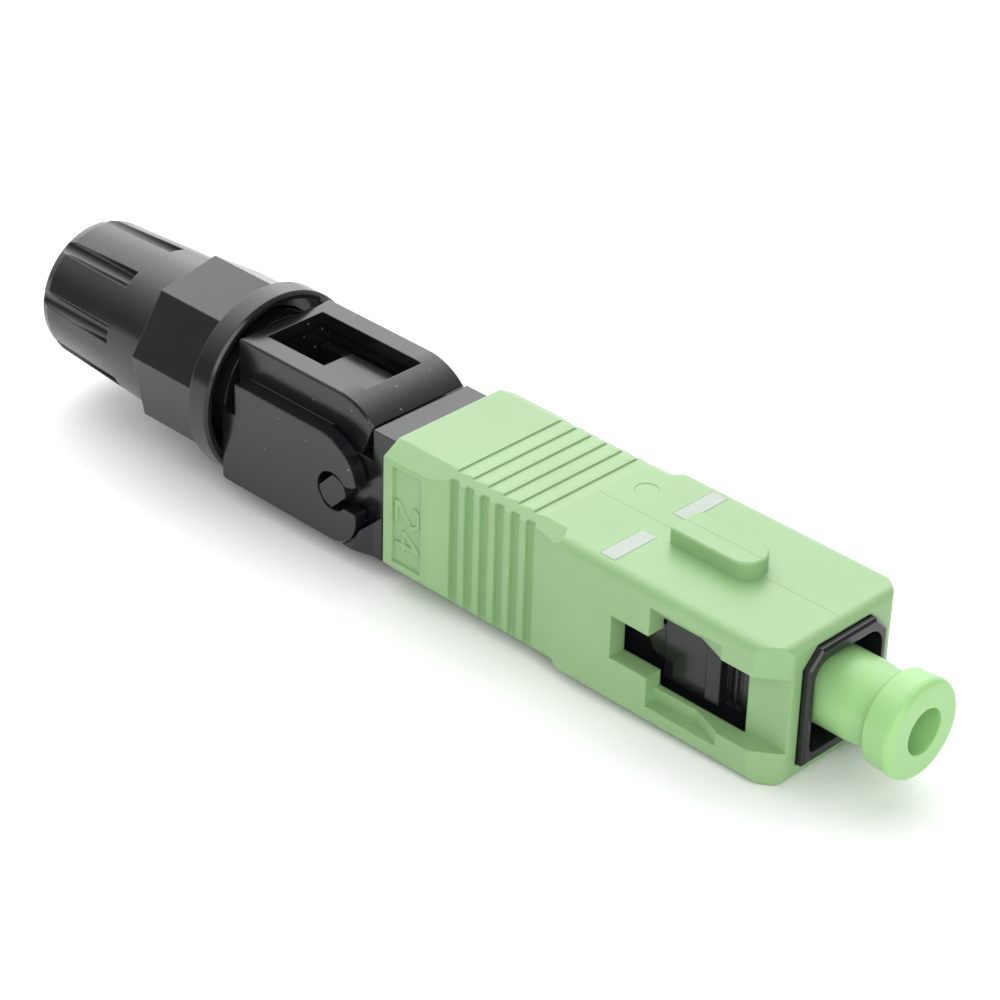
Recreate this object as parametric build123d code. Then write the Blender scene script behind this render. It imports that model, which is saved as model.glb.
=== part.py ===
"""Green SC fibre connector with a flip cover, built in millimetres.

+X is the mating direction along the optical axis, +Z is the key side.
The origin is on the optical axis, at the front face of the plug frame.
Widths and heights build up from the ferrule outwards by walls and clearances,
lengths run from the origin towards the cable.
"""
import os
from math import atan2, cos, degrees, radians, sin, tan

from build123d import *

os.makedirs("parts", exist_ok=True)

# Fits between pieces
RUN = 0.06  # running clearance of pieces that slide on each other
SEAT = 0.04  # gap left between faces that bear on each other
CUT = 1.0  # how far a cut runs past the face that it opens
ARC_STEPS = 3  # straight steps in a rounded corner of a turned piece

# Ferrule with its fibre
FERRULE_D = 2.499
FERRULE_L = 10.5
FERRULE_TIP_X = 0.3
FERRULE_EDGE = 0.15
TIP_CONE_L = 0.55
TIP_CONE_IN = 0.33
FUNNEL_D = 0.9  # lead-in at the rear of the fibre bore
FUNNEL_L = 0.7
END_ANGLE = 8.0  # slope of the polished end
FIBRE_D = 0.125
FIBRE_FIT = 0.0005

# Flanged holder behind the ferrule
BARREL_WALL = 0.2005
BARREL_TAIL = 1.69  # barrel behind the ferrule
FLANGE_T = 1.45
FLANGE_EDGE = 0.15
FLANGE_SLOT_W = 0.8
FLANGE_SLOT_D = 0.45
HOLDER_BORE_D = 0.9
FLOAT_BACK = 0.8  # how far the ferrule gives way when it mates

# Splice that floats with the ferrule
SPLICE_W = 2.1
SPLICE_L = 12.4
SPLICE_MOUTH_D = 1.2
SPLICE_MOUTH_L = 1.1
GROOVE_HALF_ANGLE = 30.0
LID_EDGE = 0.15
CLIP_T = 0.2
CLIP_REAR = 0.8  # splice left bare behind the clip
CLIP_FRONT = 3.3  # and ahead of it
CLIP_LIP = 0.35

# Ferrule spring
SPRING_WIRE = 0.36
SPRING_GAP = 0.12
SPRING_PITCH = 1.05

# Plug frame
HOLDER_GAP_Y = 0.15
HOLDER_GAP_Z = 0.25
FRAME_WALL = 0.5
FRAME_ROOF = 0.68
FRAME_L = 18.3
FRAME_CHAMFER = 0.85
MOUTH_WALL = 0.35
MOUTH_ROOF = 0.56
MOUTH_D = 7.0
MOUTH_TOP_R = 1.0
MOUTH_LOW_R = 0.35
STOP_WALL = 1.0
RIM_CHAMFER = 0.12
RIB_RISE = 0.55
RIB_REAR_X = -5.5
RIB_FRONT_X = -4.65
RIB_LOW_Z = -1.75
RIB_TOP_Z = 2.3
PLATE_REAR_X = -8.16
PLATE_LOW_Z = -1.92
PLATE_SINK = 0.2  # latch plate below the top of the rib
TAB_R = 1.0  # round rear end of the latch plate
TAB_Z = -0.1
GROOVES_X = ((-4.6, -4.25), (-4.05, -3.75))
FRAME_GROOVE_D = 0.12
CATCH_REAR = 1.4  # catch of the main body, from the rear of the frame
CATCH_L = 1.2
CATCH_H = 1.8
CATCH_GAP = 0.1

# Grip housing, the push-pull sleeve: 9.0 by 7.4 over its walls
RIB_GAP = 0.22
BAY_GAP_Z = 0.1
SIDE_WALL = 1.03
TOP_WALL = 0.47
LOW_WALL = 0.77
GRIP_L = 24.9
GRIP_FRONT_X = -0.4
GRIP_EDGE_R = 0.6
NOSE_L = 1.25  # tapered front end
NOSE_IN = 1.0  # how far each side comes in over the taper
NOSE_RIM_R = 0.5
TOP_CORNER = (1.05, 0.62)  # chamfer of the rear half, in Y and down
LOW_CORNER = (0.8, 0.8)
CORNER_L = 11.2  # from the rear of the sleeve
CORNER_RUN_OUT = 0.7
PULL_BACK = 0.8  # push-pull travel towards the cable
PUSH_ON = 1.2  # push-pull travel towards the adapter
STOP_REAR = 4.0  # stop of the sleeve, from the rear of the frame
STOP_L = 1.0
STOP_W = 2.0
STOP_H = 0.3
STOP_GAP = 0.1

# Finger waist, with its lengths from the rear of the sleeve
WAIST_IN = 0.4  # how far each side is set in
WAIST_START = 3.0
WAIST_DEEP = 4.05
WAIST_SHALLOW = 9.8
WAIST_END = 12.6
GROOVES = 6
FIRST_GROOVE = 4.1
GROOVE_PITCH = 1.0
GROOVE_W = 0.45
SIDE_GROOVE_D = 0.26
GROOVE_FLANK = 0.15
TOP_GROOVE_D = 0.07
TOP_GROOVE_L = 0.75

# Latch windows in the sides of the sleeve
WINDOW_FRONT_X = -2.85
WINDOW_STEP_X = -3.7
WINDOW_REAR_X = -7.97
SLOT_REAR_X = -10.27
SLOT_H = 2.3
WINDOW_LOW_H = 1.97  # below the middle of the slot
WINDOW_TOP_H = 2.01
POCKET_H = 5.4
POCKET_D = 0.68
RAMP_L = 1.7
RAMP_STEP = 0.07
WINDOW_MID_Z = -0.12

# Key on the top face and the two printed bars behind it
KEY_REAR_X = -10.1
KEY_L = 4.85
KEY_W = 2.1
KEY_H = 0.88
KEY_REAR_R = 0.3
KEY_EDGE = 0.08
MARK_X = -11.2
MARK_L = 0.9
MARK_IN_Y = 1.05
MARK_OUT_Y = 3.9
MARK_T = 0.05
MARK_PROUD = 0.01
MARK_FIT = 0.005
EJECTOR_X = -13.92
EJECTOR_Y = 1.74
EJECTOR_R = 0.6
EJECTOR_D = 0.02

# Panel with a mould number near the rear of the sleeve
PANEL_REAR = 0.6  # from the rear of the sleeve
PANEL_L = 1.95
PANEL_H = 5.32
PANEL_D = 0.15
PANEL_Z = -0.05
DIGIT_H = 1.5
DIGIT_W = 1.05
DIGIT_GAP = 0.5
STROKE_W = 0.22

# Main body, with its lengths from the shoulder behind the sleeve
SHOULDER_GAP = 0.1
NOSE_REACH = 3.9  # into the plug frame
NOSE_CHAMFER = 0.2
NECK_GAP_Y = 0.27
NECK_GAP_Z = 0.08
CHANNEL_GAP = 0.1
CHANNEL_REST = 0.31  # channel left behind the splice when it has floated back
BASE_UP = 0.05  # underside of the body, above that of the sleeve
SEAM_Z = 1.2  # top of the body under the cover
TONGUE_W = 2.5
TONGUE_T = 0.9
TONGUE_SEAT_L = 1.35  # sunk seat under the front edge of the cover
TONGUE_SEAT_D = 0.3
LEDGE_W = 4.6
LEDGE_Z = 2.2
LEDGE_BACK = 1.31  # behind the front of the cover
CABLE_W = 3.5
CABLE_REACH = 3.65  # cable trough ahead of the rear of the cover
CABLE_FLOOR_Z = -1.3
CABLE_TUBE_D = 2.4
FIBRE_TUBE_D = 0.6
FIBRE_TUBE_L = 1.0
GUIDE_L = 2.0
TEETH = 5
TOOTH_PITCH = 0.9
TOOTH_H = 0.35
TOOTH_L = 0.45
TOOTH_REAR = 1.2  # first tooth, from the end of the neck

# Hinge: pins with two flats on the body, open hooks on the cover
PIN_D = 1.9
PIN_FLATS = 1.3
PIN_TURN = 45.0
PIN_BACK = 3.15
PIN_Z = -1.0
PIN_ROOT = 0.5
PIN_GAP = 0.12
LOW_PRONG_DX = -0.03  # centre of the lower hook end, from the pin
LOW_PRONG_DZ = -1.08
LOW_PRONG_R = 1.72
TOP_PRONG_DX = -0.95
TOP_PRONG_R = 2.73
TOP_PRONG_ANGLE = 12.0  # turns at which the arcs of the hook end
LOW_PRONG_ANGLE = 6.0
PRONG_TIP_R = 0.2
HOOK_LEAD = 0.6  # widening mouth of the hook
GUSSET_FRONT_DZ = -0.3  # web beside the lower prong, from the pin
GUSSET_DX = (1.35, 0.25)
GUSSET_H = 0.85
GUSSET_IN = 0.07
GUSSET_LEAD = (1.7, 0.6)  # slope that sets its front in, from the shoulder
GUSSET_LEAD_D = 0.33

# Flip cover
PLATE_GAP = 0.12
PLATE_T = 0.8
SHOULDER_W = 0.99
SHOULDER_DROP = 0.95  # shoulders below the deck of the body
COVER_RISE = 1.02  # top of the cover above the deck
COVER_T = 0.7
COVER_FRONT_BACK = 1.29
COVER_L = 9.86
ROLL_R = 3.4
ROLL_ANGLE = 45.2
ROLL_LEAN = 0.75
REAR_EDGE_R = 0.22
RIDGE_EDGE = 0.1
SKIRT_H = 0.8
LID_WINDOW_W = 3.76
LID_WINDOW_REAR = 0.85
LID_WINDOW_FRONT = 1.81
NOTCH_L = 0.8
NOTCH_Z = 0.25
PLATE_REACH = 0.2  # side plates past the raised part
PLATE_CORNER_R = 0.2

# Split round neck that the nut screws on to
NECK_R = 3.85
NECK_L = 5.18
NECK_CHAMFER = 0.3
NECK_SPLIT = 0.04

# Tail nut
NUT_GAP = 0.27
NUT_L = 15.18
NECK_REST = 0.4  # bore left behind the neck
COLLAR_L = 1.7
COLLAR_RISE = 0.25
COLLAR_EDGE = 0.15
COLLAR_BEVEL = (0.35, 0.45)
WELL_D = 1.2
WELL_RIM = 0.4
OCTAGON_WALL = 0.617  # at the middle of a flat
OCTAGON_L = 6.13
CONE_WALL = 0.42
CONE_TAPER = 0.45
CONE_REAR_R = 0.9
NUT_TURN = 11.0  # how far the nut happens to be turned
CABLE_HOLE_D = 4.2
CABLE_HOLE_L = 1.6
CAVITY_D = 5.7
FLUTES = 8
FLUTE_L = 6.2
FLUTE_R = 0.5
FLUTE_OUT = 0.28  # centre of a flute above the rear rim

# Dust cap
CAP_GAP = 0.04
CAP_WALL = 0.7205
CAP_NECK_IN = 0.09
CAP_REAR_X = -5.2
CAP_REACH = 4.16  # past the tip of the ferrule
CAP_NOSE = (0.3, 0.2)
CAP_NECK_L = 0.5
CAP_TAPER_L = 0.9
CAP_FLANGE_RISE = 0.49
CAP_FLANGE_L = 1.8
CAP_RIM_R = 0.4
CAP_RIM_BEVEL = 0.2
CAP_FLARE = 0.08
CAP_HOLE_D = 2.34
CAP_HOLE_DEPTH = 1.6
CAP_BLIND = 0.5

# Widths and heights, from the ferrule outwards
BARREL_D = FERRULE_D + 2 * BARREL_WALL
SPRING_OUT_D = BARREL_D + 2 * (SPRING_GAP + SPRING_WIRE)
FLANGE_D = SPRING_OUT_D + 2 * SPRING_GAP
REAR_BAY_W = FLANGE_D + 2 * HOLDER_GAP_Y
REAR_BAY_H = FLANGE_D + 2 * HOLDER_GAP_Z
FRAME_W = REAR_BAY_W + 2 * FRAME_WALL
FRAME_H = REAR_BAY_H + 2 * FRAME_ROOF
MOUTH_W = FRAME_W - 2 * MOUTH_WALL
MOUTH_H = FRAME_H - 2 * MOUTH_ROOF
RIB_W = FRAME_W + 2 * RIB_RISE
BAY_W = RIB_W + 2 * RIB_GAP
BAY_H = FRAME_H + 2 * BAY_GAP_Z
GRIP_W = BAY_W + 2 * SIDE_WALL
GRIP_TOP_Z = BAY_H / 2 + TOP_WALL
GRIP_LOW_Z = -BAY_H / 2 - LOW_WALL
NECK_W = BAY_W - 2 * NECK_GAP_Y
NECK_H = BAY_H - 2 * NECK_GAP_Z
DECK_Z = NECK_H / 2
BASE_Z = GRIP_LOW_Z + BASE_UP
CHANNEL_W = BARREL_D + 2 * CHANNEL_GAP
COVER_W = NECK_W + 2 * (PLATE_GAP + PLATE_T)
RAISED_W = COVER_W - 2 * SHOULDER_W
SHOULDER_Z = DECK_Z - SHOULDER_DROP
COVER_TOP_Z = DECK_Z + COVER_RISE
CAP_D = FERRULE_D + 2 * (CAP_GAP + CAP_WALL)
CAP_FLANGE_D = CAP_D + 2 * CAP_FLANGE_RISE
NUT_BORE_R = NECK_R + RUN
OCTAGON_R = (NUT_BORE_R + OCTAGON_WALL) / cos(radians(22.5))
COLLAR_R = OCTAGON_R + COLLAR_RISE
CONE_FRONT_R = NUT_BORE_R + CONE_WALL
CONE_END_R = CONE_FRONT_R - CONE_TAPER

# Lengths, from the front towards the cable
STOP_X = -MOUTH_D - STOP_WALL
FLANGE_X = STOP_X - SEAT
FLANGE_REAR_X = FLANGE_X - FLANGE_T
FERRULE_REAR_X = FERRULE_TIP_X - FERRULE_L
BARREL_REAR_X = FERRULE_REAR_X - BARREL_TAIL
SPLICE_REAR_X = BARREL_REAR_X - SPLICE_L
CHANNEL_REAR_X = SPLICE_REAR_X - FLOAT_BACK - CHANNEL_REST
NOSE_FRONT_X = -FRAME_L + NOSE_REACH
CATCH_X = -FRAME_L + CATCH_REAR
GRIP_REAR_X = GRIP_FRONT_X - GRIP_L
GRIP_STOP_X = -FRAME_L + STOP_REAR
SHOULDER_X = GRIP_REAR_X - PULL_BACK - SHOULDER_GAP
PIN_X = SHOULDER_X - PIN_BACK
COVER_FRONT_X = SHOULDER_X - COVER_FRONT_BACK
COVER_REAR_X = COVER_FRONT_X - COVER_L
LEDGE_FRONT_X = COVER_FRONT_X - LEDGE_BACK
CABLE_FRONT_X = COVER_REAR_X + CABLE_REACH
NUT_FRONT_X = COVER_REAR_X - NUT_GAP
NECK_REAR_X = NUT_FRONT_X - NECK_L
NUT_REAR_X = NUT_FRONT_X - NUT_L
OCTAGON_END_X = NUT_FRONT_X - OCTAGON_L


def box(x0, x1, y0, y1, z0, z1):
    """Box between two corners."""
    size = (x1 - x0, y1 - y0, z1 - z0)
    middle = ((x0 + x1) / 2, (y0 + y1) / 2, (z0 + z1) / 2)
    return Pos(*middle) * Box(*size)


def bar(x0, x1, width, z0, z1):
    """Box that is centred on the XZ plane."""
    return box(x0, x1, -width / 2, width / 2, z0, z1)


def across(points, y0, y1):
    """Prism with an outline in X and Z, from y0 to y1."""
    outline = Plane.XZ.offset(-y0) * Polygon(*points, align=None)
    return extrude(outline, amount=y1 - y0, dir=(0, 1, 0))


def upright(points, z0, z1):
    """Prism with an outline in X and Y, from z0 to z1."""
    outline = Plane.XY.offset(z0) * Polygon(*points, align=None)
    return extrude(outline, amount=z1 - z0, dir=(0, 0, 1))


def along_x(face, x0, x1):
    """Extrude a face drawn in Y and Z from x0 to x1."""
    return extrude(Plane.YZ.offset(x0) * face, amount=x1 - x0, dir=(1, 0, 0))


def rod(radius, x0, x1, z=0.0):
    """Round bar along X."""
    return Pos((x0 + x1) / 2, 0, z) * Cylinder(radius, abs(x1 - x0), rotation=(0, 90, 0))


def drum(radius, x, z, y0, y1):
    """Round bar along Y."""
    return Pos(x, (y0 + y1) / 2, z) * Cylinder(radius, y1 - y0, rotation=(90, 0, 0))


def turned(points):
    """Solid of revolution about X from points (x, radius)."""
    return revolve(make_face(Polyline(*points, close=True)), Axis.X)


def rounded(x, height, radius, start, end):
    """Points of a rounded corner around a centre, between two angles, for a turned profile."""
    step = (end - start) / ARC_STEPS
    turns = [radians(start + step * i) for i in range(ARC_STEPS + 1)]
    return [(x + radius * cos(t), height + radius * sin(t)) for t in turns]


def mirrored(part):
    """A piece together with its mirror image across the XZ plane."""
    return part + mirror(part, Plane.XZ)


def frame_outline(grow):
    """Outline of the plug frame: square below, chamfered corners on top."""
    w = FRAME_W / 2 + grow
    h = FRAME_H / 2 + grow
    c = FRAME_CHAMFER + grow * (2 - 2 * tan(radians(22.5)))
    corners = [(-w, -h), (w, -h), (w, h - c), (w - c, h), (-w + c, h), (-w, h - c)]
    return Polygon(*corners, align=None)


def grip_block():
    """Outside of the sleeve: rounded bar, tapered nose, chamfered and waisted rear."""
    w = GRIP_W / 2
    front = GRIP_FRONT_X
    rear = GRIP_REAR_X
    low = GRIP_LOW_Z - CUT
    top = GRIP_TOP_Z + CUT
    block = bar(rear, front, GRIP_W, GRIP_LOW_Z, GRIP_TOP_Z)
    block = fillet(block.edges().filter_by(Axis.X), GRIP_EDGE_R)
    taper_x = front - NOSE_L - GROOVE_FLANK
    nose = upright([(taper_x, w), (front, w - NOSE_IN), (front, w + CUT), (taper_x, w + CUT)], low, top)
    waist = upright(
        [
            (rear + WAIST_START, w),
            (rear + WAIST_DEEP, w - WAIST_IN),
            (rear + WAIST_SHALLOW, w - WAIST_IN),
            (rear + WAIST_END, w),
        ],
        low,
        top,
    )
    corners = corner_cut(TOP_CORNER, GRIP_TOP_Z, 1) + corner_cut(LOW_CORNER, GRIP_LOW_Z, -1)
    block -= mirrored(nose + waist + corners)
    return fillet(block.faces().sort_by(Axis.X)[-1].edges(), NOSE_RIM_R)


def corner_cut(corner, z_face, up):
    """Wedge that chamfers a long edge of the rear half and runs out ahead of the waist."""
    in_y, down_z = corner
    w = GRIP_W / 2
    over = 0.4
    wedge = Polygon(
        (w - in_y - over * in_y, z_face + up * over * down_z),
        (w + over, z_face + up * over * down_z),
        (w + over, z_face - up * down_z * (1 + over / in_y)),
        align=None,
    )
    end_x = GRIP_REAR_X + CORNER_L
    start = Plane.YZ.offset(end_x) * wedge
    end = Plane.YZ.offset(end_x + CORNER_RUN_OUT) * (Pos(in_y / 2, up * down_z / 2) * wedge)
    return along_x(wedge, GRIP_REAR_X - CUT, end_x) + loft([start, end])


def side_grooves():
    """Upright finger grooves in the sides of the waist."""
    floor = GRIP_W / 2 - WAIST_IN - SIDE_GROOVE_D
    cut = Part()
    for i in range(GROOVES):
        x = GRIP_REAR_X + FIRST_GROOVE + i * GROOVE_PITCH
        far = x + GROOVE_W + GROOVE_FLANK
        near_side = [(x, floor + CUT), (x, floor), (x + GROOVE_W, floor)]
        far_side = [(far, floor + SIDE_GROOVE_D), (far, floor + CUT)]
        cut += upright(near_side + far_side, GRIP_LOW_Z - CUT, GRIP_TOP_Z - TOP_CORNER[1] / 2)
    return mirrored(cut)


def top_grooves():
    """Saw-tooth finger grooves across the top of the waist."""
    cut = Part()
    z = GRIP_TOP_Z
    for i in range(GROOVES):
        x = GRIP_REAR_X + FIRST_GROOVE + i * GROOVE_PITCH
        tooth = [(x, z + CUT), (x, z - TOP_GROOVE_D), (x + TOP_GROOVE_L, z), (x + TOP_GROOVE_L, z + CUT)]
        cut += across(tooth, -GRIP_W / 2, GRIP_W / 2)
    return cut


def side_window():
    """Latch window on the +Y side: slot, through window and ramped pocket."""
    face = GRIP_W / 2
    out = face + CUT
    inner = BAY_W / 2 - RUN
    floor = face - POCKET_D
    zc = WINDOW_MID_Z
    slot = box(SLOT_REAR_X, WINDOW_REAR_X + RUN, inner, out, zc - SLOT_H / 2, zc + SLOT_H / 2)
    hole = box(WINDOW_REAR_X, GRIP_FRONT_X + CUT, inner, out, zc - WINDOW_LOW_H, zc + WINDOW_TOP_H)
    pocket = upright(
        [
            (WINDOW_REAR_X, out),
            (WINDOW_REAR_X, floor),
            (WINDOW_STEP_X - RAMP_L, floor),
            (WINDOW_STEP_X, face - RAMP_STEP),
            (WINDOW_STEP_X, out),
        ],
        zc - POCKET_H / 2,
        zc + POCKET_H / 2,
    )
    return slot + hole + pocket


def key_block():
    """Polarity key with a rounded front end."""
    r = KEY_W / 2
    outline = Pos(KEY_REAR_X + (KEY_L - r) / 2, 0) * Rectangle(KEY_L - r, KEY_W)
    outline = fillet(outline.vertices().group_by(Axis.X)[0], KEY_REAR_R)
    outline += Pos(KEY_REAR_X + KEY_L - r, 0) * Circle(r)
    root = TOP_WALL / 2
    block = extrude(Plane.XY.offset(GRIP_TOP_Z - root) * outline, amount=KEY_H + root)
    return chamfer(block.faces().sort_by(Axis.Z)[-1].edges(), KEY_EDGE)


def stroke(points):
    """Flat line figure of even width along points."""
    figure = Sketch()
    for (x0, y0), (x1, y1) in zip(points, points[1:]):
        turn = degrees(atan2(y1 - y0, x1 - x0))
        length = ((x1 - x0) ** 2 + (y1 - y0) ** 2) ** 0.5
        line = SlotCenterToCenter(length, STROKE_W)
        figure += Pos((x0 + x1) / 2, (y0 + y1) / 2) * Rotation(0, 0, turn) * line
    return figure


def number_panel():
    """Sunk panel on the -Y side with a raised plain mould number."""
    w = GRIP_W / 2
    rear = GRIP_REAR_X + PANEL_REAR
    panel = box(rear, rear + PANEL_L, -w - CUT, -w + PANEL_D, PANEL_Z - PANEL_H / 2, PANEL_Z + PANEL_H / 2)
    margin = (PANEL_L - DIGIT_H) / 2
    start = PANEL_Z + DIGIT_W / 2 + DIGIT_GAP / 2
    place = Plane(origin=(rear + margin, -w + PANEL_D, start), x_dir=(0, 0, -1), z_dir=(0, -1, 0))
    h = DIGIT_H
    d = DIGIT_W
    bow = [(0, 0.83 * h), (0.14 * d, h), (0.81 * d, h), (d, 0.8 * h), (d, 0.6 * h)]
    two = stroke(bow + [(0, 0.1 * h), (0, 0), (d, 0)])
    four = stroke([(0.73 * d, 0), (0.73 * d, h), (0, 0.33 * h), (d, 0.33 * h)])
    digits = extrude(place * (two + Pos(DIGIT_W + DIGIT_GAP, 0) * four), amount=PANEL_D - RUN)
    return panel, digits


def mark_slab(side, thickness, grow=0.0):
    """Printed bar behind the key; side is +1 or -1."""
    y0 = side * (MARK_IN_Y - grow)
    y1 = side * (MARK_OUT_Y + grow)
    x0 = MARK_X - MARK_L / 2 - grow
    x1 = MARK_X + MARK_L / 2 + grow
    low = GRIP_TOP_Z - MARK_T
    return box(x0, x1, min(y0, y1), max(y0, y1), low, low + thickness)


def make_grip_housing():
    """Push-pull sleeve of the connector."""
    grip = grip_block() - side_grooves() - top_grooves()
    bay = bar(GRIP_REAR_X - CUT, WINDOW_FRONT_X, BAY_W, -BAY_H / 2, BAY_H / 2)
    mouth = along_x(frame_outline(RUN), WINDOW_FRONT_X - CUT, GRIP_FRONT_X + CUT)
    grip -= bay + mouth
    grip -= mirrored(side_window())
    low = FRAME_H / 2 - STOP_H
    stop = bar(GRIP_STOP_X, GRIP_STOP_X + STOP_L, STOP_W, low, BAY_H / 2 + TOP_WALL / 2)
    grip += stop + mirror(stop, Plane.XY)
    grip += key_block()
    panel, digits = number_panel()
    grip = grip - panel + digits
    grip -= Pos(EJECTOR_X, EJECTOR_Y, GRIP_TOP_Z) * Cylinder(EJECTOR_R, 2 * EJECTOR_D)
    return grip - mark_slab(1, CUT) - mark_slab(-1, CUT)


def latch_parts():
    """Latch rib of the plug frame on the +Y side, with the round-ended plate behind it."""
    root = FRAME_W / 2 - FRAME_WALL / 2
    top = RIB_W / 2
    rib = box(RIB_REAR_X, RIB_FRONT_X, root, top, RIB_LOW_Z, RIB_TOP_Z)
    plate = box(PLATE_REAR_X, RIB_REAR_X + RUN, root, top - PLATE_SINK, PLATE_LOW_Z, RIB_TOP_Z)
    tab = drum(TAB_R, PLATE_REAR_X, TAB_Z, root, top - PLATE_SINK - SEAT)
    return rib + plate + tab


def make_plug_frame():
    """Black inner frame that the adapter latches on to."""
    w = FRAME_W / 2
    h = FRAME_H / 2
    frame = along_x(frame_outline(0), -FRAME_L, 0)
    frame = chamfer(frame.faces().sort_by(Axis.X)[-1].edges(), RIM_CHAMFER)
    frame += mirrored(latch_parts())
    for x0, x1 in GROOVES_X:
        frame -= mirrored(box(x0, x1, w - FRAME_GROOVE_D, w + CUT, RIB_LOW_Z, RIB_TOP_Z))
    mouth = Rectangle(MOUTH_W, MOUTH_H)
    mouth = fillet(mouth.vertices().group_by(Axis.Y)[-1], MOUTH_TOP_R)
    mouth = fillet(mouth.vertices().group_by(Axis.Y)[0], MOUTH_LOW_R)
    frame -= along_x(mouth, -MOUTH_D, CUT)
    frame -= rod(FERRULE_D / 2 + MOUTH_WALL, STOP_X - RUN, -MOUTH_D + RUN)
    frame -= bar(-FRAME_L - CUT, STOP_X, REAR_BAY_W, -REAR_BAY_H / 2, REAR_BAY_H / 2)
    rear = GRIP_STOP_X - PULL_BACK - RUN
    front = GRIP_STOP_X + STOP_L + PUSH_ON + RUN
    slot = bar(rear, front, STOP_W + 2 * STOP_GAP, h - STOP_H - RUN, h + CUT)
    frame -= slot + mirror(slot, Plane.XY)
    window_h = CATCH_H / 2 + CATCH_GAP
    return frame - bar(CATCH_X - CATCH_GAP, CATCH_X + CATCH_L + CATCH_GAP, 2 * FRAME_W, -window_h, window_h)


def polished_end():
    """Everything ahead of the sloped end of the ferrule."""
    size = 2 * FERRULE_D
    block = Pos(size / 2, 0, 0) * Box(size, size, size)
    return Pos(FERRULE_TIP_X, 0, 0) * Rotation(0, -END_ANGLE, 0) * block


def make_ferrule():
    """Zirconia ferrule with a sloped polished end, a fibre bore and its lead-in."""
    r = FERRULE_D / 2
    tip = FERRULE_TIP_X
    rear = FERRULE_REAR_X
    rear_end = [(rear, 0), (rear, r - FERRULE_EDGE), (rear + FERRULE_EDGE, r)]
    ferrule = turned(rear_end + [(tip - TIP_CONE_L, r), (tip, r - TIP_CONE_IN), (tip, 0)])
    bore = rod(FIBRE_D / 2 + FIBRE_FIT, rear - CUT, tip + CUT)
    funnel = turned([(rear, 0), (rear, FUNNEL_D / 2), (rear + FUNNEL_L, FIBRE_D / 2), (rear + FUNNEL_L, 0)])
    return ferrule - polished_end() - bore - funnel


def make_fibre_stub():
    """Short factory-fitted fibre in the ferrule, reaching into the splice."""
    return rod(FIBRE_D / 2, BARREL_REAR_X - SPLICE_L / 2, FERRULE_TIP_X + CUT) - polished_end()


def make_ferrule_holder():
    """Flanged barrel that holds the ferrule and carries the splice."""
    r = FLANGE_D / 2
    b = BARREL_D / 2
    holder = turned(
        [
            (FLANGE_X, 0),
            (FLANGE_X, r - FLANGE_EDGE),
            (FLANGE_X - FLANGE_EDGE, r),
            (FLANGE_REAR_X, r),
            (FLANGE_REAR_X, b),
            (BARREL_REAR_X, b),
            (BARREL_REAR_X, 0),
        ]
    )
    holder -= rod(FERRULE_D / 2, FERRULE_REAR_X, 0)
    holder -= rod(HOLDER_BORE_D / 2, BARREL_REAR_X - CUT, 0)
    slot = bar(FLANGE_REAR_X, FLANGE_X + CUT, FLANGE_SLOT_W, r - FLANGE_SLOT_D, r + CUT)
    return holder - slot - mirror(slot, Plane.XY)


def splice_mouth():
    """Cone that leads the fibre in between the halves of the splice."""
    rear = SPLICE_REAR_X
    end = rear + SPLICE_MOUTH_L
    return turned([(rear, 0), (rear, SPLICE_MOUTH_D / 2), (end, FIBRE_D / 2), (end, 0)])


def make_splice_base():
    """Lower half of the splice, with a V groove that carries the fibre."""
    w = SPLICE_W / 2
    base = bar(SPLICE_REAR_X, BARREL_REAR_X, SPLICE_W, -w, -SEAT / 4)
    turn = radians(GROOVE_HALF_ANGLE)
    depth = FIBRE_D / 2 / sin(turn) + SEAT / 4
    side = (depth + FIBRE_D) * tan(turn)
    groove = Polygon((-side, FIBRE_D), (0, -depth), (side, FIBRE_D), align=None)
    return base - along_x(groove, SPLICE_REAR_X - CUT, BARREL_REAR_X + CUT) - splice_mouth()


def make_splice_lid():
    """Upper half of the splice, pressed down by the clip."""
    lid = bar(SPLICE_REAR_X, BARREL_REAR_X, SPLICE_W, FIBRE_D / 2, SPLICE_W / 2) - splice_mouth()
    return chamfer(lid.edges().filter_by(Axis.X).group_by(Axis.Z)[-1], LID_EDGE)


def make_splice_clip():
    """Spring-steel channel that squeezes base and lid together, open on one side."""
    w = SPLICE_W / 2
    out = w + CLIP_T
    x0 = SPLICE_REAR_X + CLIP_REAR
    x1 = BARREL_REAR_X - CLIP_FRONT
    clip = box(x0, x1, -out, out, -out, out) - box(x0 - CUT, x1 + CUT, -w, w, -w, w)
    clip -= box(x0 - CUT, x1 + CUT, 0, w + CUT, -w + CLIP_LIP, w - CLIP_LIP)
    middle = (x0 + x1) / 2
    return clip - box(middle - CLIP_T, middle + CLIP_T, -w + CLIP_LIP, w + CUT, -w - CUT, w + CUT)


def make_ferrule_spring():
    """Compression spring between the flange of the holder and the main body."""
    length = FLANGE_REAR_X - NOSE_FRONT_X - SPRING_WIRE
    coils = max(round(length / SPRING_PITCH), 1)
    path = Helix(pitch=length / coils, height=length, radius=BARREL_D / 2 + SPRING_GAP + SPRING_WIRE / 2)
    section = Plane(origin=path @ 0, z_dir=path % 0) * RegularPolygon(SPRING_WIRE / 2, 6)
    spring = sweep(section, path=path, is_frenet=True)
    return Pos(NOSE_FRONT_X + SPRING_WIRE / 2, 0, 0) * Rotation(0, 90, 0) * spring


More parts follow.
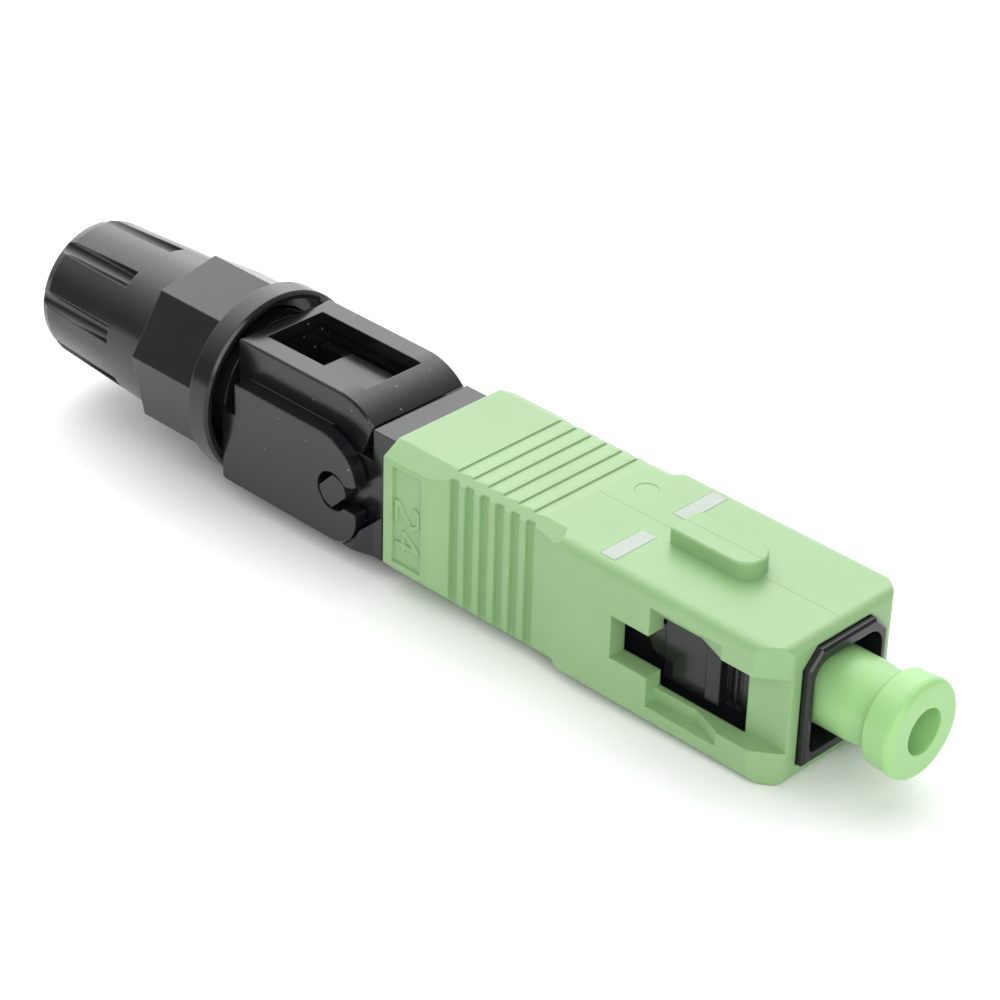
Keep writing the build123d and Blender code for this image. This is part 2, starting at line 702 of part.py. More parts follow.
def clamp_teeth(up):
    """Ridges that bite the cable jacket; up is +1 on the floor, -1 in the cover."""
    z = up * CABLE_FLOOR_Z
    root = z - up * TOOTH_L / 2
    tip = z + up * TOOTH_H
    teeth = Part()
    for i in range(TEETH):
        x = NECK_REAR_X + TOOTH_REAR + i * TOOTH_PITCH
        end = x + TOOTH_L
        outline = [(x, root), (x, z), ((x + 2 * end) / 3, tip), (end, z), (end, root)]
        teeth += across(outline, -CABLE_W / 2, CABLE_W / 2)
    return teeth


def half_neck(up):
    """Half of the split round neck inside the nut."""
    neck = rod(NECK_R, NECK_REAR_X, NUT_FRONT_X)
    neck = chamfer(neck.faces().sort_by(Axis.X)[0].edges(), NECK_CHAMFER)
    near = up * NECK_SPLIT
    far = up * 2 * NECK_R
    return neck & bar(NECK_REAR_X - CUT, NUT_FRONT_X + CUT, 4 * NECK_R, min(near, far), max(near, far))


def double_d_pin():
    """Hinge pin with two flats, standing out of the +Y side of the body."""
    y0 = NECK_W / 2 - PIN_ROOT
    y1 = COVER_W / 2 - SEAT / 2
    pin = Cylinder(PIN_D / 2, y1 - y0) & Box(2 * PIN_D, PIN_FLATS, 2 * COVER_W)
    return Pos(PIN_X, (y0 + y1) / 2, PIN_Z) * Rotation(90, 0, 0) * Rotation(0, 0, PIN_TURN) * pin


def gusset():
    """Web on the +Y side that fills in ahead of the lower prong of the hook."""
    front = SHOULDER_X
    foot = BASE_Z + GUSSET_H
    x1 = PIN_X + GUSSET_DX[0]
    x0 = PIN_X + GUSSET_DX[1]
    face = COVER_W / 2 - GUSSET_IN
    slope = [(front, PIN_Z + GUSSET_FRONT_DZ), (x1, foot), (x0, foot)]
    web = across([(front, BASE_Z)] + slope + [(x0, BASE_Z)], 0, face)
    web -= drum(LOW_PRONG_R + PIN_GAP, PIN_X + LOW_PRONG_DX, PIN_Z + LOW_PRONG_DZ, -CUT, COVER_W)
    far, near = GUSSET_LEAD
    inner = face - GUSSET_LEAD_D
    lead = [(front - far, face), (front - near, inner), (front + CUT, inner)]
    lead += [(front + CUT, COVER_W), (front - far, COVER_W)]
    return web - upright(lead, BASE_Z - CUT, DECK_Z)


def make_main_body():
    """Body that holds the splice, carries the hinge pins and half of the neck."""
    nose_h = REAR_BAY_H / 2 - SEAT
    nose_y = REAR_BAY_W / 2 - SEAT
    nose = bar(-FRAME_L - CUT, NOSE_FRONT_X, 2 * nose_y, -nose_h, nose_h)
    nose = chamfer(nose.faces().sort_by(Axis.X)[-1].edges(), NOSE_CHAMFER)
    tip = FRAME_W / 2 - 2 * SEAT
    x0 = CATCH_X
    x1 = CATCH_X + CATCH_L
    catch = [(x0, 0), (x0, tip), (x0 + CATCH_L / 3, tip), (x1, nose_y), (x1, 0)]
    catch = upright(catch, -CATCH_H / 2, CATCH_H / 2)
    body = nose + mirrored(catch)
    body += bar(COVER_FRONT_X + PIN_GAP, -FRAME_L - SEAT, NECK_W, -DECK_Z, DECK_Z)
    body += bar(COVER_REAR_X, SHOULDER_X, NECK_W, BASE_Z, SEAM_Z)
    body += bar(NUT_FRONT_X - RUN, COVER_REAR_X + RUN, NECK_W - 2 * SEAT, -NECK_R / 2, -SEAT / 2)
    body += bar(COVER_REAR_X + NOTCH_L, LEDGE_FRONT_X, LEDGE_W, SEAM_Z - RUN, LEDGE_Z)
    body += bar(CABLE_FRONT_X, SHOULDER_X, TONGUE_W, DECK_Z - TONGUE_T, DECK_Z)
    seat_front = COVER_FRONT_X + PIN_GAP
    body -= bar(seat_front - TONGUE_SEAT_L, seat_front, NECK_W, DECK_Z - TONGUE_SEAT_D, COVER_TOP_Z)
    body += mirrored(gusset() + double_d_pin())
    body += half_neck(-1)
    body -= bar(CHANNEL_REAR_X, CUT, CHANNEL_W, -CHANNEL_W / 2, CHANNEL_W / 2)
    tube_x = CHANNEL_REAR_X - FIBRE_TUBE_L
    guide_x = tube_x - GUIDE_L
    cable_x = min(guide_x, CABLE_FRONT_X) - RUN
    body -= turned(
        [
            (CHANNEL_REAR_X + RUN, 0),
            (CHANNEL_REAR_X + RUN, FIBRE_TUBE_D / 2),
            (tube_x, FIBRE_TUBE_D / 2),
            (guide_x, CABLE_TUBE_D / 2),
            (cable_x, CABLE_TUBE_D / 2),
            (cable_x, 0),
        ]
    )
    body -= bar(NECK_REAR_X - CUT, CABLE_FRONT_X, CABLE_W, CABLE_FLOOR_Z, COVER_TOP_Z)
    return body + clamp_teeth(1)


def raised_profile(inset):
    """Side view of the raised middle of the cover, with its rolled front end."""
    top = COVER_TOP_Z - inset
    rear = COVER_REAR_X + inset
    foot = SHOULDER_Z - SKIRT_H - inset / 3
    edge_r = REAR_EDGE_R
    turn = radians(ROLL_ANGLE)
    roll_x = COVER_FRONT_X - ROLL_R * sin(turn)
    roll_z = COVER_TOP_Z - ROLL_R
    r = ROLL_R - inset
    tip = (roll_x + r * sin(turn), roll_z + r * cos(turn))
    mid = (roll_x + r * sin(turn / 2), roll_z + r * cos(turn / 2))
    slant = edge_r * (1 - cos(radians(45)))
    lip = (tip[0] - ROLL_LEAN, foot)
    edges = [
        Line((rear, foot), (rear, top - edge_r)),
        ThreePointArc((rear, top - edge_r), (rear + slant, top - slant), (rear + edge_r, top)),
        Line((rear + edge_r, top), (roll_x, top)),
        ThreePointArc((roll_x, top), mid, tip),
        Line(tip, lip),
        Line(lip, (rear, foot)),
    ]
    return Plane.XZ * make_face(edges)


def on_circle(centre, radius, angle):
    """Point on a circle at an angle in degrees."""
    return centre[0] + radius * cos(radians(angle)), centre[1] + radius * sin(radians(angle))


def hook_plate():
    """Side plate of the cover on the +Y side, with the C hook around the hinge pin."""
    rear = COVER_REAR_X - PLATE_REACH
    notch = COVER_REAR_X + NOTCH_L
    top_c = (PIN_X + TOP_PRONG_DX, SHOULDER_Z - TOP_PRONG_R)
    low_c = (PIN_X + LOW_PRONG_DX, PIN_Z + LOW_PRONG_DZ)
    foot = low_c[1] - LOW_PRONG_R
    top_start = on_circle(top_c, TOP_PRONG_R, 90)
    top_mid = on_circle(top_c, TOP_PRONG_R, (90 + TOP_PRONG_ANGLE) / 2)
    top_end = on_circle(top_c, TOP_PRONG_R, TOP_PRONG_ANGLE)
    low_start = on_circle(low_c, LOW_PRONG_R, LOW_PRONG_ANGLE)
    low_mid = on_circle(low_c, LOW_PRONG_R, (LOW_PRONG_ANGLE - 90) / 2)
    low_end = on_circle(low_c, LOW_PRONG_R, -90)
    gap = PIN_FLATS / 2 + SEAT / 2
    inner = (top_end[0] - HOOK_LEAD, PIN_Z + gap)
    edges = [
        Line((notch, SHOULDER_Z), top_start),
        ThreePointArc(top_start, top_mid, top_end),
        Line(top_end, inner),
        Line(inner, (PIN_X, PIN_Z + gap)),
        Line((PIN_X, PIN_Z + gap), (PIN_X, PIN_Z - gap)),
        Line((PIN_X, PIN_Z - gap), (low_start[0], PIN_Z - gap)),
        Line((low_start[0], PIN_Z - gap), low_start),
        ThreePointArc(low_start, low_mid, low_end),
        Line(low_end, (rear, foot)),
        Line((rear, foot), (rear, NOTCH_Z)),
        Line((rear, NOTCH_Z), (notch, NOTCH_Z)),
        Line((notch, NOTCH_Z), (notch, SHOULDER_Z)),
    ]
    face = COVER_W / 2
    plate = extrude(Plane.XZ.offset(-face) * make_face(edges), amount=PLATE_T, dir=(0, -1, 0))
    ends = plate.edges().filter_by(Axis.Y)
    reach = PIN_X + PIN_D / 2 + HOOK_LEAD
    tips = ends.filter_by(lambda e: e.center().X > reach and abs(e.center().Z - PIN_Z) < PIN_D / 2)
    plate = fillet(tips, PRONG_TIP_R)
    corner = plate.edges().filter_by(Axis.Y).filter_by(lambda e: e.center().Z < foot + RUN).sort_by(Axis.X)[0]
    plate = fillet(corner, PLATE_CORNER_R)
    return plate - drum(PIN_D / 2 + PIN_GAP, PIN_X, PIN_Z, face - 2 * PLATE_T, face + CUT)


def make_flip_cover():
    """Hinged cover: raised middle with a window, shoulders, hook plates and half of the neck."""
    cover = extrude(raised_profile(0), amount=RAISED_W / 2, both=True)
    cover = chamfer(cover.edges().filter_by(Axis.X).group_by(Axis.Z)[-1], RIDGE_EDGE)
    cover -= extrude(raised_profile(COVER_T), amount=RAISED_W / 2 - COVER_T, both=True)
    shelf_front = PIN_X + TOP_PRONG_DX
    shelf_y = (RAISED_W / 2 - COVER_T, COVER_W / 2)
    shelf = box(COVER_REAR_X + NOTCH_L, shelf_front, *shelf_y, SHOULDER_Z - COVER_T, SHOULDER_Z)
    cover += mirrored(shelf + hook_plate())
    x0 = COVER_REAR_X + LID_WINDOW_REAR
    x1 = COVER_FRONT_X - LID_WINDOW_FRONT
    cover -= bar(x0, x1, LID_WINDOW_W, COVER_TOP_Z - COVER_T - RUN, COVER_TOP_Z + CUT)
    tongue = TONGUE_W + 2 * NECK_GAP_Z
    seat = DECK_Z - TONGUE_SEAT_D + SEAT
    cover -= bar(x1, COVER_FRONT_X + CUT, tongue, DECK_Z - TONGUE_T - CUT, seat)
    cover += half_neck(1)
    bridge = RAISED_W - 2 * COVER_T
    cover += bar(NUT_FRONT_X - RUN, COVER_REAR_X + RUN, bridge, SEAM_Z + PIN_GAP, DECK_Z - PIN_GAP)
    cover -= bar(NECK_REAR_X - CUT, x0, CABLE_W, -CUT, -CABLE_FLOOR_Z)
    return cover + clamp_teeth(-1)


def flute():
    """Axial groove in the rear cone of the nut."""
    return rod(FLUTE_R, NUT_REAR_X - CUT, NUT_REAR_X + FLUTE_L, z=CONE_END_R + FLUTE_OUT)


def make_tail_nut():
    """Screw nut that closes the cover: collar, octagon and fluted cone."""
    front = NUT_FRONT_X
    collar_end = front - COLLAR_L
    bevel_l, bevel_r = COLLAR_BEVEL
    collar = turned(
        [
            (front, 0),
            (front, COLLAR_R - COLLAR_EDGE),
            (front - COLLAR_EDGE, COLLAR_R),
            (collar_end + bevel_l, COLLAR_R),
            (collar_end, COLLAR_R - bevel_r),
            (collar_end, 0),
        ]
    )
    face = RegularPolygon(OCTAGON_R, 8, major_radius=True)
    octagon = along_x(Rotation(0, 0, 22.5 + NUT_TURN) * face, OCTAGON_END_X, collar_end + bevel_l)
    rim = rounded(NUT_REAR_X + CONE_REAR_R, CONE_END_R - CONE_REAR_R, CONE_REAR_R, 180, 90)
    start = OCTAGON_END_X + bevel_l
    nut = collar + octagon + turned([(NUT_REAR_X, 0)] + rim + [(start, CONE_FRONT_R), (start, 0)])
    for i in range(FLUTES):
        nut -= Rotation((i + 0.5) * 360 / FLUTES + NUT_TURN, 0, 0) * flute()
    bore_end = NECK_REAR_X - NECK_REST
    hole = CABLE_HOLE_D / 2
    cavity = CAVITY_D / 2
    hole_x = NUT_REAR_X + CABLE_HOLE_L
    bore = turned(
        [
            (front + CUT, 0),
            (front + CUT, NUT_BORE_R),
            (bore_end, NUT_BORE_R),
            (bore_end - (NUT_BORE_R - cavity), cavity),
            (hole_x + (cavity - hole), cavity),
            (hole_x, hole),
            (NUT_REAR_X - CUT, hole),
            (NUT_REAR_X - CUT, 0),
        ]
    )
    return nut - bore - rod(COLLAR_R - WELL_RIM, front - WELL_D, front + CUT)


def make_dust_cap():
    """Soft cap pushed over the ferrule, with a finger flange."""
    r = CAP_D / 2
    neck = r - CAP_NECK_IN
    f = CAP_FLANGE_D / 2
    tip = FERRULE_TIP_X + CAP_REACH
    flange = tip - CAP_FLANGE_L
    nose_l, nose_in = CAP_NOSE
    cap = turned(
        [
            (CAP_REAR_X, 0),
            (CAP_REAR_X, r - nose_in),
            (CAP_REAR_X + nose_l, r),
            (flange - CAP_NECK_L - CAP_TAPER_L, r),
            (flange - CAP_NECK_L, neck),
            (flange, neck),
            (flange, f - CAP_FLARE - CAP_RIM_BEVEL),
            (flange + CAP_RIM_BEVEL, f - CAP_FLARE),
        ]
        + rounded(tip - CAP_RIM_R, f - CAP_RIM_R, CAP_RIM_R, 90, 0)
        + [(tip, 0)]
    )
    bore = rod(FERRULE_D / 2 + CAP_GAP, CAP_REAR_X - CUT, FERRULE_TIP_X + CAP_BLIND)
    return cap - bore - rod(CAP_HOLE_D / 2, tip - CAP_HOLE_DEPTH, tip + CUT)


def main():
    """Build every node and write it to parts."""
    nodes = {
        "dust_cap": make_dust_cap(),
        "grip_housing": make_grip_housing(),
        "position_mark_left": mark_slab(1, MARK_T + MARK_PROUD, -MARK_FIT),
        "position_mark_right": mark_slab(-1, MARK_T + MARK_PROUD, -MARK_FIT),
        "plug_frame": make_plug_frame(),
        "ferrule": make_ferrule(),
        "ferrule_holder": make_ferrule_holder(),
        "fibre_stub": make_fibre_stub(),
        "splice_base": make_splice_base(),
        "splice_lid": make_splice_lid(),
        "splice_clip": make_splice_clip(),
        "ferrule_spring": make_ferrule_spring(),
        "main_body": make_main_body(),
        "flip_cover": make_flip_cover(),
        "tail_nut": make_tail_nut(),
    }
    for name, part in nodes.items():
        solids = part.solids()
        print(name, len(solids), [round(s.volume, 3) for s in solids])
        export_step(part, f"parts/{name}.step")


main()
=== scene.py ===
"""Studio scene of the square push-pull fibre connector: materials, fine surface detail, light and camera."""
from math import atan, cos, pi, radians, sin

import bpy
from mathutils import Matrix, Vector

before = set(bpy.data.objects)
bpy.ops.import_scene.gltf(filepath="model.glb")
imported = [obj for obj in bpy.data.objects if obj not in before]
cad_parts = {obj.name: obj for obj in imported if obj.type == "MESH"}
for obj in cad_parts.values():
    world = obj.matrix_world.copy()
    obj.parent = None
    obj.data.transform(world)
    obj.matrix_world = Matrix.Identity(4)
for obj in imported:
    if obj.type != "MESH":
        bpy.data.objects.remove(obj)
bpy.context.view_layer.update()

MM = 0.001

# Camera, fitted to the photograph: place, angles in degrees, sensor and focal length in millimetres
CAMERA_AT = Vector((72.79, -98.84, 84.06)) * MM
CAMERA_AZIMUTH = 43.74
CAMERA_ELEVATION = 31.52
CAMERA_ROLL = 1.73
CAMERA_SENSOR = 36.0
CAMERA_LENS = 118.8
CAMERA_CLIP = 5.0 * MM

# Floor, tilted as the connector lies on its collar and its sleeve
COLLAR_X = -38.5 * MM
COLLAR_LOW_Z = -5.15 * MM
NOSE_X = -0.9 * MM
NOSE_LOW_Z = -3.85 * MM
FLOOR_SIZE = 3.0

# Wide soft light: where it comes from, how bright it is, and how it fades with the cosine from there
SKY_FROM = (-0.6, 0.45, 0.66)
SKY_RADIANCE = 3.1
SKY_FADE = (
    (0.0, 0.06),
    (0.28, 0.08),
    (0.48, 0.2),
    (0.67, 0.4),
    (0.806, 0.64),
    (0.866, 0.82),
    (0.93, 0.97),
    (1.0, 1.0),
)

# Soft box in front, aimed at the middle of the connector
KEY_FROM = (0.64, -0.56, 0.52)
KEY_DISTANCE = 0.6
KEY_SIZE = (0.6, 0.5)
KEY_RADIANCE = 3.1
MIDDLE = Vector((-24.0, 0.0, 0.0)) * MM

# Base colours
BLACK = (0.0088, 0.009, 0.0112)
DUST = (0.2, 0.2, 0.19)
SLEEVE_GREEN = (0.255, 0.425, 0.195)
CAP_GREEN = (0.31, 0.565, 0.23)
INK = ((0.37, 0.43, 0.38), (0.42, 0.48, 0.43))
CERAMIC = ((0.83, 0.83, 0.8), (0.88, 0.88, 0.86))
GREY = ((0.5, 0.5, 0.48), (0.56, 0.56, 0.54))
SILICA = ((0.92, 0.95, 0.97), (0.96, 0.98, 1.0))
FLOOR_WHITE = ((0.93, 0.93, 0.93), (0.95, 0.95, 0.95))
SPRING_STEEL = (0.62, 0.62, 0.61)
TURNED_METAL = (0.66, 0.65, 0.6)

# Refractive indices
PLASTIC_IOR = 1.5
CERAMIC_IOR = 1.9
SILICA_IOR = 1.46

# Sizes of the surface detail, in features per metre
FLOW_MARKS = 260.0
EROSION_GRAIN = 9000.0
POLISH_CLOUDS = 300.0
SINK_WAVES = 420.0
DUST_CELLS = 1150.0
INK_GRAIN = 7000.0
CERAMIC_CLOUDS = 500.0
GREY_GRAIN = 5000.0
SILICA_CLOUDS = 400.0
FLOOR_CLOUDS = 6.0
STEEL_RINGS = 3000.0
LATHE_RINGS = 4000.0
MARKS_ROUND_AXIS = 40.0

# Heights of the bumps, and radii that the shading rounds edges to
SLEEVE_GRAIN_HEIGHT = 0.01 * MM
CAP_GRAIN_HEIGHT = 0.004 * MM
SINK_HEIGHT = 0.012 * MM
PRINT_HEIGHT = 0.004 * MM
TOOL_MARK_HEIGHT = 0.002 * MM
GREEN_EDGE = 0.12 * MM
BLACK_EDGE = 0.1 * MM
EDGE_SAMPLES = 6

# Light inside the green plastics
GLOW_DEPTH = 0.6 * MM
GLOW_COLOURS = (0.8, 1.0, 0.6)
SLEEVE_GLOW = 0.15
CAP_GLOW = 0.5

# Share of a dust cell that its speck takes
DUST_SPECK = 0.065

# Parting line of the sleeve's mould: along the middle of its top, in the front part
SEAM_Y = 0.04 * MM
SEAM_HALF_WIDTH = 0.07 * MM
SEAM_FROM_X = -15.5 * MM
SEAM_FROM_Z = 3.0 * MM
SEAM_HEIGHT = 0.02 * MM


def new_material(name):
    """Material whose node tree holds only its shader and the output."""
    material = bpy.data.materials.new(name)
    material.use_nodes = True
    tree = material.node_tree
    tree.nodes.clear()
    out = tree.nodes.new("ShaderNodeOutputMaterial")
    shader = tree.nodes.new("ShaderNodeBsdfPrincipled")
    tree.links.new(shader.outputs["BSDF"], out.inputs["Surface"])
    return material, tree, shader


def add(tree, kind, settings=None, **inputs):
    """Node with its properties in settings and its input values given by name."""
    node = tree.nodes.new(kind)
    for key, value in (settings or {}).items():
        setattr(node, key, value)
    for key, value in inputs.items():
        node.inputs[key.replace("_", " ")].default_value = value
    return node


def constants(shader, **inputs):
    """Input values of a shader that are the same all over the surface, given by name."""
    for key, value in inputs.items():
        shader.inputs[key.replace("_", " ")].default_value = value


def object_coords(tree):
    """Coordinates of the object itself, in metres."""
    return add(tree, "ShaderNodeTexCoord").outputs["Object"]


def noise(tree, coords, scale, detail=3.0, roughness=0.5):
    """Noise over the object; scale is in features per metre."""
    node = add(tree, "ShaderNodeTexNoise", Scale=scale, Detail=detail, Roughness=roughness)
    tree.links.new(coords, node.inputs["Vector"])
    return node.outputs["Fac"]


def ramp(tree, source, colours, low=0.3, high=0.7):
    """Goes from the first colour at low to the second one at high."""
    node = add(tree, "ShaderNodeValToRGB")
    for stop, place, colour in zip(node.color_ramp.elements, (low, high), colours):
        stop.position = place
        stop.color = (*colour, 1.0)
    tree.links.new(source, node.inputs["Fac"])
    return node.outputs["Color"]


def spread(tree, source, low, high):
    """Maps a 0 to 1 value on to a range."""
    node = add(tree, "ShaderNodeMapRange", To_Min=low, To_Max=high)
    tree.links.new(source, node.inputs["Value"])
    return node.outputs["Result"]


def combine(tree, operation, first, second=0.0):
    """Math node of two values, each a socket or a number."""
    node = add(tree, "ShaderNodeMath", {"operation": operation})
    for place, value in enumerate((first, second)):
        if isinstance(value, float):
            node.inputs[place].default_value = value
        else:
            tree.links.new(value, node.inputs[place])
    return node.outputs["Value"]


def bumped(tree, shader, height, distance, strength=1.0, edge=0.0):
    """Bump on the shader, over edges that are rounded by a radius."""
    bump = add(tree, "ShaderNodeBump", Strength=strength, Distance=distance)
    tree.links.new(height, bump.inputs["Height"])
    if edge:
        round_edge = add(tree, "ShaderNodeBevel", {"samples": EDGE_SAMPLES}, Radius=edge)
        tree.links.new(round_edge.outputs["Normal"], bump.inputs["Normal"])
    tree.links.new(bump.outputs["Normal"], shader.inputs["Normal"])


def scaled(colour, factor):
    """Colour made lighter or darker."""
    return tuple(c * factor for c in colour)


def varied(colour, change):
    """A colour's darker and lighter neighbours."""
    return scaled(colour, 1.0 - change), scaled(colour, 1.0 + change)


def parting_line(tree, coords, shader):
    """Thin raised line that the two halves of the mould leave on the top of the sleeve."""
    split = add(tree, "ShaderNodeSeparateXYZ")
    tree.links.new(coords, split.inputs["Vector"])
    away = combine(tree, "ABSOLUTE", combine(tree, "SUBTRACT", split.outputs["Y"], SEAM_Y))
    away = combine(tree, "DIVIDE", away, SEAM_HALF_WIDTH)
    line = combine(tree, "MAXIMUM", combine(tree, "SUBTRACT", 1.0, away), 0.0)
    for side, start in (("X", SEAM_FROM_X), ("Z", SEAM_FROM_Z)):
        line = combine(tree, "MULTIPLY", line, combine(tree, "GREATER_THAN", split.outputs[side], start))
    ridge = add(tree, "ShaderNodeBump", Strength=1.0, Distance=SEAM_HEIGHT)
    tree.links.new(line, ridge.inputs["Height"])
    tree.links.new(shader.inputs["Normal"].links[0].from_socket, ridge.inputs["Normal"])
    tree.links.new(ridge.outputs["Normal"], shader.inputs["Normal"])


def moulded_green(name, colour, roughness, grain, glow, seam=False):
    """Pale green moulded plastic: even colour with faint flow marks and a fine spark-eroded grain."""
    material, tree, shader = new_material(name)
    coords = object_coords(tree)
    flow = noise(tree, coords, FLOW_MARKS, detail=4.0)
    tree.links.new(ramp(tree, flow, varied(colour, 0.03)), shader.inputs["Base Color"])
    fine = noise(tree, coords, EROSION_GRAIN, detail=2.0, roughness=0.7)
    tree.links.new(spread(tree, fine, roughness - 0.05, roughness + 0.06), shader.inputs["Roughness"])
    constants(shader, IOR=PLASTIC_IOR, Subsurface_Weight=glow,
              Subsurface_Radius=GLOW_COLOURS, Subsurface_Scale=GLOW_DEPTH)
    bumped(tree, shader, fine, grain, strength=0.6, edge=GREEN_EDGE)
    if seam:
        parting_line(tree, coords, shader)
    return material


def polished_black(name, dusty=False):
    """Black moulded plastic with a soft polish, faint sink marks and, where wanted, specks of pale dust."""
    material, tree, shader = new_material(name)
    coords = object_coords(tree)
    cloud = noise(tree, coords, POLISH_CLOUDS)
    tree.links.new(spread(tree, cloud, 0.15, 0.24), shader.inputs["Roughness"])
    constants(shader, IOR=PLASTIC_IOR)
    if dusty:
        cells = add(tree, "ShaderNodeTexVoronoi", {"feature": "F1"}, Scale=DUST_CELLS, Randomness=1.0)
        tree.links.new(coords, cells.inputs["Vector"])
        speck = combine(tree, "LESS_THAN", cells.outputs["Distance"], DUST_SPECK)
        tint = ramp(tree, speck, (BLACK, DUST), low=0.0, high=1.0)
    else:
        tint = ramp(tree, cloud, varied(BLACK, 0.15))
    tree.links.new(tint, shader.inputs["Base Color"])
    wave = noise(tree, coords, SINK_WAVES, detail=1.0)
    bumped(tree, shader, wave, SINK_HEIGHT, strength=0.5, edge=BLACK_EDGE)
    return material


def fine_matt(name, colours, grain, roughness):
    """Matt surface with a fine grain: printed ink, or the splice's engineering plastic."""
    material, tree, shader = new_material(name)
    fine = noise(tree, object_coords(tree), grain)
    tree.links.new(ramp(tree, fine, colours), shader.inputs["Base Color"])
    constants(shader, Roughness=roughness)
    bumped(tree, shader, fine, PRINT_HEIGHT)
    return material


def white_ceramic():
    """Polished zirconia."""
    material, tree, shader = new_material("white_ceramic")
    cloud = noise(tree, object_coords(tree), CERAMIC_CLOUDS)
    tree.links.new(ramp(tree, cloud, CERAMIC), shader.inputs["Base Color"])
    tree.links.new(spread(tree, cloud, 0.08, 0.14), shader.inputs["Roughness"])
    constants(shader, IOR=CERAMIC_IOR)
    return material


def bright_metal(name, colour, roughness, rings):
    """Turned or drawn metal with fine tool marks around the axis."""
    material, tree, shader = new_material(name)
    stretch = add(tree, "ShaderNodeMapping", Scale=(rings, MARKS_ROUND_AXIS, MARKS_ROUND_AXIS))
    tree.links.new(object_coords(tree), stretch.inputs["Vector"])
    marks = noise(tree, stretch.outputs["Vector"], 1.0, detail=2.0)
    tree.links.new(ramp(tree, marks, (scaled(colour, 0.9), colour)), shader.inputs["Base Color"])
    tree.links.new(spread(tree, marks, roughness - 0.06, roughness + 0.08), shader.inputs["Roughness"])
    constants(shader, Metallic=1.0)
    bumped(tree, shader, marks, TOOL_MARK_HEIGHT)
    return material


def clear_silica():
    """Glass of the fibre."""
    material, tree, shader = new_material("clear_silica")
    cloud = noise(tree, object_coords(tree), SILICA_CLOUDS)
    tree.links.new(ramp(tree, cloud, SILICA), shader.inputs["Base Color"])
    constants(shader, Roughness=0.02, Transmission_Weight=0.9, IOR=SILICA_IOR)
    return material


def paint(material, *nodes):
    """Gives pieces of the model their material."""
    for node in nodes:
        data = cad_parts[node].data
        data.materials.clear()
        data.materials.append(material)


def dress():
    """Materials for every piece."""
    sleeve = moulded_green("sleeve_green", SLEEVE_GREEN, 0.34, SLEEVE_GRAIN_HEIGHT, SLEEVE_GLOW, seam=True)
    paint(sleeve, "grip_housing")
    paint(moulded_green("cap_green", CAP_GREEN, 0.3, CAP_GRAIN_HEIGHT, CAP_GLOW), "dust_cap")
    paint(polished_black("polished_black"), "plug_frame", "main_body", "tail_nut")
    paint(polished_black("polished_black_dusty", dusty=True), "flip_cover")
    paint(fine_matt("printed_white", INK, INK_GRAIN, 0.45), "position_mark_left", "position_mark_right")
    paint(white_ceramic(), "ferrule")
    paint(bright_metal("turned_metal", TURNED_METAL, 0.28, LATHE_RINGS), "ferrule_holder")
    paint(clear_silica(), "fibre_stub")
    paint(fine_matt("dull_grey", GREY, GREY_GRAIN, 0.55), "splice_base", "splice_lid")
    paint(bright_metal("bright_steel", SPRING_STEEL, 0.3, STEEL_RINGS), "splice_clip", "ferrule_spring")


def make_floor():
    """Plain pale table under the connector."""
    slope = atan((NOSE_LOW_Z - COLLAR_LOW_Z) / (NOSE_X - COLLAR_X))
    half = FLOOR_SIZE / 2
    mesh = bpy.data.meshes.new("floor")
    corners = [(-half, -half, 0), (half, -half, 0), (half, half, 0), (-half, half, 0)]
    mesh.from_pydata(corners, [], [(0, 1, 2, 3)])
    floor = bpy.data.objects.new("floor", mesh)
    bpy.context.scene.collection.objects.link(floor)
    floor.matrix_world = Matrix.Translation((COLLAR_X, 0, COLLAR_LOW_Z)) @ Matrix.Rotation(-slope, 4, "Y")
    material, tree, shader = new_material("floor_white")
    cloud = noise(tree, object_coords(tree), FLOOR_CLOUDS)
    tree.links.new(ramp(tree, cloud, FLOOR_WHITE, low=0.2, high=0.8), shader.inputs["Base Color"])
    constants(shader, Roughness=0.9)
    mesh.materials.append(material)


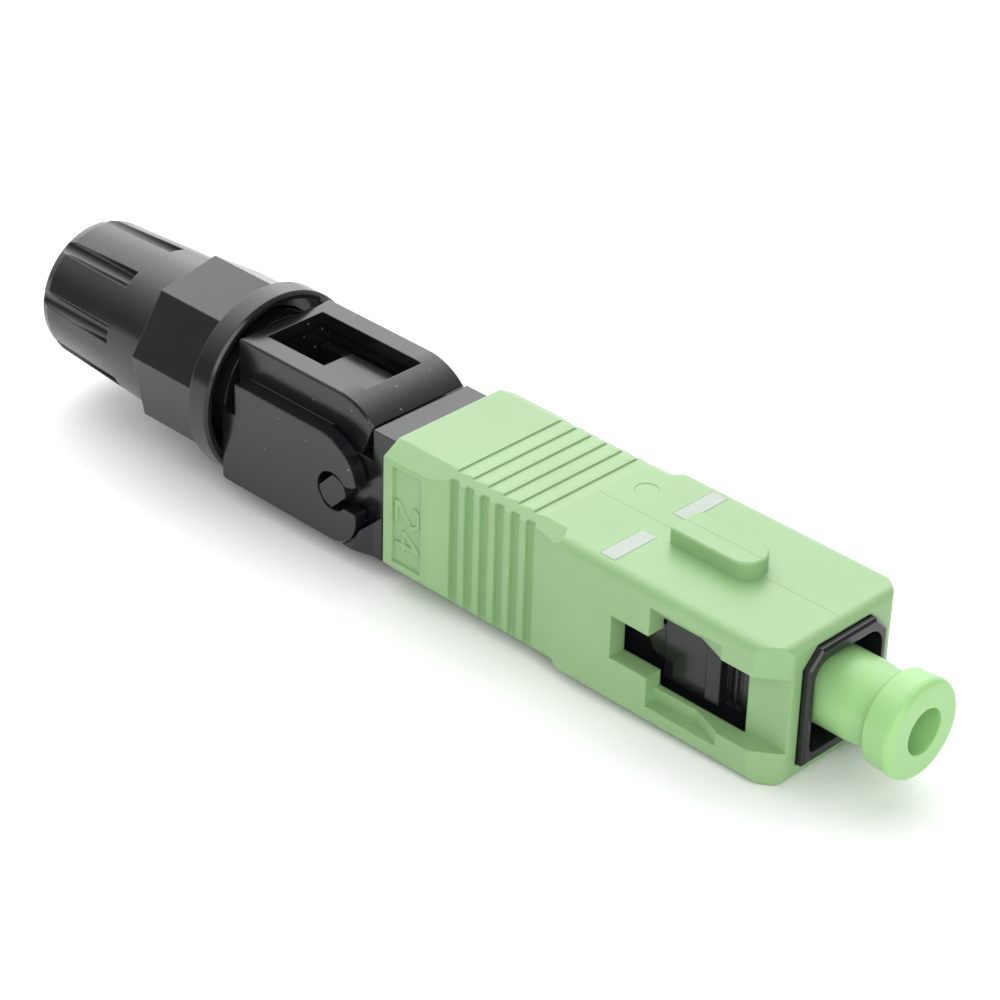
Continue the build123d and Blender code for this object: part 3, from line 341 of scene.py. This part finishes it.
def make_sky():
    """Wide soft light from behind and above that fades into a dim room."""
    world = bpy.data.worlds.new("studio")
    world.use_nodes = True
    tree = world.node_tree
    facing = add(tree, "ShaderNodeVectorMath", {"operation": "DOT_PRODUCT"})
    facing.inputs[1].default_value = Vector(SKY_FROM).normalized()
    tree.links.new(add(tree, "ShaderNodeTexCoord").outputs["Generated"], facing.inputs[0])
    fade = add(tree, "ShaderNodeValToRGB")
    stops = fade.color_ramp.elements
    for at, level in SKY_FADE[1:-1]:
        stops.new(at)
    for stop, (at, level) in zip(stops, SKY_FADE):
        stop.position = at
        stop.color = (level, level, level, 1.0)
    tree.links.new(facing.outputs["Value"], fade.inputs["Fac"])
    tree.links.new(fade.outputs["Color"], tree.nodes["Background"].inputs["Color"])
    tree.nodes["Background"].inputs["Strength"].default_value = SKY_RADIANCE
    bpy.context.scene.world = world


def make_key_light():
    """Large soft box in front of the connector, weaker than the light behind."""
    light = bpy.data.lights.new("key_box", "AREA")
    light.shape = "RECTANGLE"
    light.size, light.size_y = KEY_SIZE
    light.energy = KEY_RADIANCE * pi * light.size * light.size_y
    lamp = bpy.data.objects.new("key_box", light)
    bpy.context.scene.collection.objects.link(lamp)
    towards = Vector(KEY_FROM).normalized()
    lamp.location = MIDDLE + towards * KEY_DISTANCE
    lamp.rotation_euler = (-towards).to_track_quat("-Z", "Y").to_euler()


def make_camera():
    """Camera at the photograph's angle, for a square picture."""
    data = bpy.data.cameras.new("camera")
    data.sensor_width = CAMERA_SENSOR
    data.lens = CAMERA_LENS
    data.clip_start = CAMERA_CLIP
    camera = bpy.data.objects.new("camera", data)
    bpy.context.scene.collection.objects.link(camera)
    az = radians(CAMERA_AZIMUTH)
    el = radians(CAMERA_ELEVATION)
    forward = Vector((-sin(az) * cos(el), cos(az) * cos(el), -sin(el)))
    right = forward.cross(Vector((0, 0, 1))).normalized()
    up = right.cross(forward)
    turn = Matrix((right, up, -forward)).transposed().to_4x4()
    roll = Matrix.Rotation(radians(CAMERA_ROLL), 4, "Z")
    camera.matrix_world = Matrix.Translation(CAMERA_AT) @ turn @ roll
    bpy.context.scene.camera = camera


dress()
make_floor()
make_sky()
make_key_light()
make_camera()
bpy.context.scene.view_settings.view_transform = "Standard"
